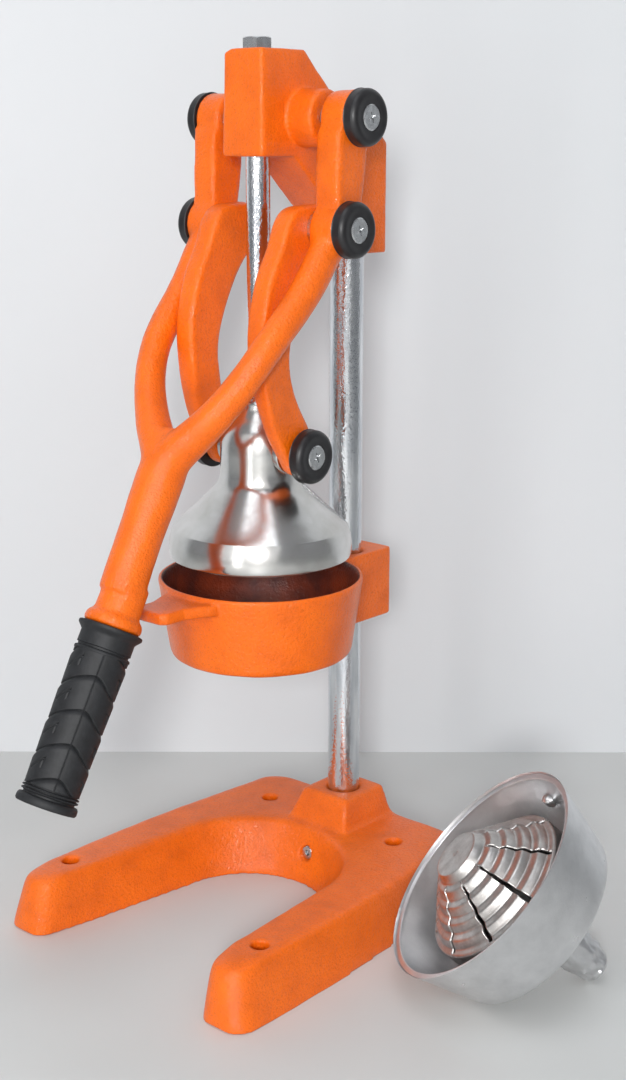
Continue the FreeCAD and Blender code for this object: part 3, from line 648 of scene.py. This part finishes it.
bell_points = list(smooth_profile(bell_inner, 5)) + list(smooth_profile(bell_outer, 6))[1:]
bell_mesh = swept("bell_turned", bell_points, (0, rod_y, 0), (0, 0, 1), 160, sharp=24)
piece("bell_turned", bell_mesh, "bell")
lug_profile = [(0, 0), (12.0, 0), (12.5, 0.5), (12.5, 12.0)]
lug_face, lug_height = 25.5 * MM, 310.2 * MM
for side in (-1, 1):
    lug = swept("bell_lug", lug_profile, (side * lug_face, rod_y, lug_height), (-side, 0, 0), 64)
    piece("bell_lug_" + ("right" if side > 0 else "left"), lug, "bell", "plunger")

# %% [markdown]
# ## Knobs and screws
# A flat round knob covers each pin's end: a wide soft bevel, a slightly dished
# face and a sunk zinc screw with a cross recess. The screws and the rod's bolt
# are the solids themselves, with their edges softened a little.



# %% Knobs
def soften_edges(node_name):
    bevel = frame["nodes"][node_name].modifiers.new("edge", "BEVEL")
    bevel.width = 0.35 * MM
    bevel.segments = 2
    bevel.angle_limit = math.radians(40)


knob_outline = [
    (3.3, 0), (15.6, 0), (16.5, 0.9), (16.5, 0.9), (16.5, 5.6), (16.5, 5.6), (15.9, 6.9), (14.8, 8.0),
    (13.6, 8.55), (12.4, 8.6), (10.0, 8.35), (8.2, 8.3), (7.75, 8.1), (7.7, 7.4), (7.7, 6.7),
    (7.7, 6.7), (3.3, 6.6), (3.3, 6.6), (3.3, 0),
]
knob_rows = smooth_profile(knob_outline, 4)
for name in ("upper", "mid", "lower"):
    for side in ("right", "left"):
        node = name + "_knob_" + side
        low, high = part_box(node)
        centre = (low + high) / 2
        way = 1 if side == "right" else -1
        start = Vector((low.x if way > 0 else high.x, centre.y, centre.z))
        piece(node + "_turned", swept(node, knob_rows, start, (way, 0, 0), 72), node)
        soften_edges(name + "_screw_" + side)
soften_edges("rod_bolt")

# %% [markdown]
# ## The grip
# A moulded rubber sleeve, like a bicycle's: a flange where the hand stops, a
# waist, then five bands that overlap like scales. Each band rises towards its
# lower edge and drops in a step, and the step dips to either side of a raised
# parting line. Ribs and a second flange close the end. The whole sleeve is one
# swept grid whose radius is a sum of those shapes.

# %% Grip
grip_top = Vector((0, rod_y - 127.0 * MM, 222.0 * MM))
grip_end = Vector((0, rod_y - 181.0 * MM, 127.5 * MM))
grip_way = (grip_end - grip_top).normalized()
grip_length = (grip_end - grip_top).length / MM
band_start, band = 9.4, 20.4
pattern_start, pattern_end = 16.5, grip_length - 11.0
parting = math.radians(40)


def fold(angle):
    """Signed angle from the nearest parting line, which the mould leaves on two sides."""
    off = (angle - parting + math.pi) % (2 * math.pi) - math.pi
    if abs(off) > math.pi / 2:
        off -= math.copysign(math.pi, off)
    return off


def dip(distance, depth, width):
    """A soft groove of a given depth where distance is zero."""
    return depth * math.exp(-(distance / width) ** 2)


def grip_shape(radius, height, angle):
    """Adds bands, strokes and parting line to the sleeve, and flutes to its waist."""
    off = fold(angle)
    r = radius
    if pattern_start < height < pattern_end:
        arch = 5.65 * off ** 1.35 if off > 0 else 10.4 * (1 - math.exp(-(off / 0.72) ** 2))
        below = (height - band_start - arch) % band
        lip = min(1.0, below / 3.2)
        r = radius - 1.5 + 1.5 * math.sin(lip * math.pi / 2) - 0.55 * below / band
        r -= 1.2 * max(0.0, 1 - (band - below) / 0.7)
        if 0.66 < off < 1.34:
            r -= dip(below - 7.7 - (off - 0.75) * 5.4, 1.0, 0.8)
        if 7.4 < below < 13.5:
            r -= dip((off - 0.74) * radius, 0.7, 0.5)
        if -1.30 < off < -0.92 and 8.5 < below < 13.5:
            r -= 0.8
        if below > 1.5:
            r += dip(off * radius, 0.35, 0.4)
    elif 6.4 < height < 12.6:
        r += 0.35 - 0.75 * (math.cos(angle * 14) > 0.55)
    return r, height


grip_rows = [
    (0, 0), (10.5, 0), (18.4, 0), (19.2, 0.4), (19.4, 1.3), (19.2, 2.2), (18.3, 3.2), (17.2, 4.4),
    (16.4, 5.4), (16.3, 6.0), (16.3, 12.8), (15.4, 13.2), (15.3, 14.4), (16.6, 14.9), (16.9, 15.6),
    (16.8, 16.4),
]
steps = 300
grip_rows += [(16.9, pattern_start + (pattern_end - pattern_start) * i / steps) for i in range(steps + 1)]
for k in range(2):
    h = pattern_end + 0.3 + k * 1.9
    grip_rows += [(15.6, h), (15.6, h + 0.4), (16.9, h + 0.8), (17.1, h + 1.2), (16.9, h + 1.6)]
grip_rows += [
    (15.4, grip_length - 6.6), (15.4, grip_length - 5.6), (17.4, grip_length - 5.2),
    (18.1, grip_length - 4.2), (18.3, grip_length - 3.0), (18.3, grip_length - 1.2),
    (17.6, grip_length - 0.2), (16.0, grip_length), (0, grip_length),
]
grip_mesh = swept("grip_rubber", grip_rows, grip_top, grip_way, 260, grip_shape, 45)
piece("grip_sleeve", grip_mesh, "grip")
print("grip length mm:", round(grip_length, 1))

# %% [markdown]
# ## The cup
# The loose cup lies on its shoulder and the end of its spout. Its wall is thin
# and slightly tapered, the rim is flat with broken edges, and the spout is a
# rough cast stub. Two small lugs inside the wall hold the strainer. The cup's
# tilt follows from the two points that touch the table.

# %% Cup and strainer placing
shoulder_radius, shoulder_depth = 61.0, 44.0
spout_radius, spout_depth = 9.5, 101.04
tip = math.atan((spout_depth - shoulder_depth) / (shoulder_radius - spout_radius))
cup_turn = math.radians(227.9)
cup_way = Vector((math.sin(tip) * math.cos(cup_turn), math.sin(tip) * math.sin(cup_turn), math.cos(tip)))
cup_height = shoulder_radius * math.sin(tip) + shoulder_depth * math.cos(tip)
cup_centre = Vector((172.4, 4.4 - 83.6, cup_height)) * MM


def spout_shape(radius, height, angle):
    """A rough stub: slow lumps, sharper ripples, and less of both on its end face."""
    if height < -60 and 6 < radius < 19:
        lump = noise.noise(Vector((math.cos(angle) * 1.6, math.sin(angle) * 1.6, height * 0.16)))
        ripple = noise.noise(Vector((math.cos(angle) * 4, math.sin(angle) * 4, height * 0.4)))
        soft = min(1.0, (-60 - height) / 8) * (0.4 if height < -99 else 1.0)
        return radius + soft * (1.3 * lump + 1.0 * ripple - 0.5), height
    return radius, height


slope = 11.1 / 44
cup_rows = smooth_profile([
    (5.2, -101.0), (7.9, -101.0), (8.7, -100.6), (9.6, -99.4), (10.6, -96.5), (12.4, -90.0),
    (14.0, -80.0), (15.4, -70.0), (17.0, -62.5), (18.4, -60.6), (18.4, -60.6), (20.6, -60.2),
    (22.6, -59.0), (23.2, -56.6), (24.6, -55.2),
    (38.0, -51.6), (53.0, -48.2), (57.6, -46.8), (59.9, -45.0), (61.2, -42.2), (62.4, -38.0), (62.4, -38.0),
    (71.9, -1.2), (72.1, -0.5), (71.8, 0), (71.8, 0), (68.9, 0), (68.9, 0), (68.5, -0.4), (68.4, -1.6),
    (68.4, -1.6),
    (68.9 - slope * 38, -38.0), (68.9 - slope * 41.5, -41.5), (56.4, -43.6), (48.0, -45.6),
    (14.0, -53.4), (8.0, -55.2), (5.4, -57.6), (5.2, -62.0), (5.2, -62.0), (5.2, -101.0),
], 4)
piece("cup_shell", swept("cup_shell", cup_rows, cup_centre, cup_way, 160, spout_shape, 40), "cup")
cup_matrix = Matrix.Translation(cup_centre) @ Vector((0, 0, 1)).rotation_difference(cup_way).to_matrix().to_4x4(
)
lug_size = (5.4 * MM, 7.6 * MM, 7.6 * MM)
lug_place = (63.4 * MM, 0, -16 * MM)
for k, lug_angle in enumerate((76.0, 256.0)):
    block = bmesh.new()
    bmesh.ops.create_cube(block, size=1.0)
    bmesh.ops.scale(block, vec=lug_size, verts=block.verts)
    bmesh.ops.bevel(block, geom=block.edges[:], offset=1.1 * MM, segments=3, affect="EDGES")
    bmesh.ops.translate(block, vec=lug_place, verts=block.verts)
    spin = Matrix.Rotation(math.radians(lug_angle), 4, "Z")
    bmesh.ops.transform(block, matrix=cup_matrix @ spin, verts=block.verts)
    lug_mesh = bpy.data.meshes.new("cup_lug")
    block.to_mesh(lug_mesh)
    block.free()
    lug_mesh.shade_smooth()
    piece("cup_lug_%d" % k, lug_mesh, "cup", "cup_body")

# %% [markdown]
# ## The strainer
# A stepped cone like an inverted beehive, with nine sawn slots that let the
# juice through. The saw leaves ragged burrs, so the grid of the cone is cut
# open along each slot and the points next to the cut are pushed about. A solid
# wall is then grown inwards.

# %% Strainer
cone_rows = smooth_profile([
    (0, 19.6), (1.2, 19.5), (2.2, 20.0), (8.0, 20.1), (14.6, 20.0), (15.9, 19.2), (17.6, 16.4),
    (18.6, 14.4), (21.6, 13.4), (22.9, 12.4),
    (24.6, 9.8), (25.6, 8.2), (28.6, 7.2), (29.8, 6.2), (31.4, 3.4), (32.4, 1.8), (35.6, 0.8),
    (36.8, -0.2), (38.2, -3.0), (39.0, -4.6),
    (42.6, -5.6), (43.8, -6.6), (45.4, -9.0), (46.2, -10.4), (48.9, -11.2), (49.9, -12.4),
    (50.0, -16.0), (50.0, -39.4), (50.0, -39.4), (58.3, -39.8), (58.3, -41.8),
], 3)
around = 432
slot_angles = [math.radians(17 + 40 * i) for i in range(9)]
slot_from, slot_to = 19.5, 48.6
burr_reach = 2.6


def slot_half_width(r):
    """The saw cut widens outwards, in mm."""
    return 0.7 + 0.9 * (r - slot_from) / 29


def slot_gap(angle):
    return min(abs((angle - s + math.pi) % (2 * math.pi) - math.pi) for s in slot_angles)


cone = bmesh.new()
rows = []
for r, h in cone_rows:
    if r < 1e-6:
        rows.append([cone.verts.new((0, 0, h * MM))])
        continue
    row = []
    for k in range(around):
        angle = 2 * math.pi * k / around
        gap = slot_gap(angle) * r
        rough = 0.0
        if 19 < r < 49.5 and gap < burr_reach:
            burr = 0.75 * noise.noise(Vector((r * 0.7, angle * 30, 3.0))) + 0.45
            rough = (burr_reach - gap) / burr_reach * burr
        row.append(cone.verts.new(Vector((r * math.cos(angle), r * math.sin(angle), h + rough)) * MM))
    rows.append(row)
for i, (low_row, high_row) in enumerate(zip(rows, rows[1:])):
    for k in range(around):
        n = (k + 1) % around
        if len(low_row) == 1:
            cone.faces.new((low_row[0], high_row[k], high_row[n]))
            continue
        r = (cone_rows[i][0] + cone_rows[i + 1][0]) / 2
        gap = slot_gap(2 * math.pi * (k + 0.5) / around) * r
        ragged = 0.35 * noise.noise(Vector((r * 0.5, k * 0.3, 7.0)))
        if slot_from < r < slot_to and gap < slot_half_width(r) + ragged:
            continue
        cone.faces.new((low_row[k], high_row[k], high_row[n], low_row[n]))
bmesh.ops.transform(cone, matrix=cup_matrix, verts=cone.verts)
bmesh.ops.recalc_face_normals(cone, faces=cone.faces)
cone_mesh = bpy.data.meshes.new("strainer_cone")
cone.to_mesh(cone_mesh)
cone.free()
cone_mesh.shade_smooth()
strainer = piece("strainer_cone", cone_mesh, "strainer")
wall = strainer.modifiers.new("wall", "SOLIDIFY")
wall.thickness = 2.2 * MM
wall.offset = -1
print("strainer faces:", len(cone_mesh.polygons))

# %% [markdown]
# ## The room
# The press stands on a pale shelf against a pale wall. Both are plain planes,
# no part of the object.

# %% Floor and wall
shelf_paint, tree, shader, place = new_finish("pale_shelf_laminate", Roughness=0.5)
cloud = add(tree, "ShaderNodeTexNoise", {"Vector": place, "Scale": per_metre(180), "Detail": 2.0})
tone = add(tree, "ShaderNodeValToRGB", {0: cloud}, [(0.3, linear("CBCCCA")), (0.7, linear("D3D4D2"))])
fine = add(tree, "ShaderNodeMapping", {"Vector": place, "Scale": (1, 8, 1)})
lines = add(tree, "ShaderNodeTexNoise", {"Vector": fine, "Scale": per_metre(2.5), "Detail": 2.0})
bump = add(tree, "ShaderNodeBump", {"Height": lines, "Distance": 0.02 * MM, "Strength": 1.0})
wire(tree, shader, Base_Color=tone, Normal=bump)
wall_paint, tree, shader, place = new_finish("pale_wall_paint", Roughness=0.8)
cloud = add(tree, "ShaderNodeTexNoise", {"Vector": place, "Scale": per_metre(400), "Detail": 2.0})
tone = add(tree, "ShaderNodeValToRGB", {0: cloud}, [(0.3, linear("D4D7D9")), (0.7, linear("DADCDE"))])
wire(tree, shader, Base_Color=tone)


def sheet(name, centre, across, along, width, length, material):
    across, along, centre = Vector(across).normalized(), Vector(along).normalized(), Vector(centre)
    signs = ((-1, -1), (1, -1), (1, 1), (-1, 1))
    corners = [centre + across * a * width / 2 + along * b * length / 2 for a, b in signs]
    data = bpy.data.meshes.new(name)
    data.from_pydata(corners, [], [(0, 1, 2, 3)])
    data.materials.append(material)
    obj = bpy.data.objects.new(name, data)
    bpy.context.scene.collection.objects.link(obj)
    return obj


flat_right = Vector((0.7528, 0.6583, 0))
flat_away = Vector((-0.6583, 0.7528, 0))
camera_to_wall = 1.229
room_width, shelf_depth, wall_height = 8.0, 4.0, 3.0
wall_foot = Vector((camera_place.x, camera_place.y, 0)) + flat_away * camera_to_wall
shelf_middle = wall_foot - flat_away * (shelf_depth / 2)
wall_middle = wall_foot + Vector((0, 0, wall_height / 2))
sheet("shelf", shelf_middle, flat_right, flat_away, room_width, shelf_depth, shelf_paint)
sheet("back_wall", wall_middle, flat_right, (0, 0, 1), room_width, wall_height, wall_paint)

# %% [markdown]
# ## Light
# The light in the room comes from the front, near the camera, so upright faces
# are bright, and the wall close behind carries soft shadows. A key lamp far
# enough away lights top and foot alike. A wide dim panel beside it is what the
# chrome mirrors as its pale upright band, a narrow strip gives the mottled
# streak in that band, and a grey world stands for the rest of the room.

# %% Lights
world = bpy.data.worlds.new("room_light")
bpy.context.scene.world = world
world.use_nodes = True
world.node_tree.nodes.clear()
glow = add(world.node_tree, "ShaderNodeBackground", {"Color": linear("F0F3F8"), "Strength": 0.33})
add(world.node_tree, "ShaderNodeOutputWorld", {"Surface": glow})
middle = Vector((0, -0.08, 0.27))
camera_turn = 41.1


def soft_lamp(name, turn_left, lift, distance, size, power, tint="FFFFFF", target=middle):
    """turn_left is in degrees from the camera's own direction, lift in degrees above the table."""
    side, high = math.radians(camera_turn - turn_left), math.radians(lift)
    data = bpy.data.lights.new(name, "AREA")
    data.shape = "RECTANGLE"
    data.size, data.size_y = size
    data.energy = power
    data.color = linear(tint)[:3]
    lamp = bpy.data.objects.new(name, data)
    bpy.context.scene.collection.objects.link(lamp)
    way = Vector((math.sin(side) * math.cos(high), -math.cos(side) * math.cos(high), math.sin(high)))
    lamp.location = target + way * distance
    lamp.rotation_mode = "QUATERNION"
    lamp.rotation_quaternion = way.to_track_quat("Z", "Y")
    lamp.visible_camera = False


soft_lamp("front_softbox", 2, 14, 1.9, (0.26, 0.26), 19.0)
soft_lamp("wide_panel", 15, 20, 1.75, (2.8, 1.7), 9.0)
soft_lamp("left_strip", 26, 12, 1.3, (0.09, 1.2), 3.0)
soft_lamp("top_softbox", 10, 70, 2.2, (1.2, 1.2), 10.0, "F6F9FF")
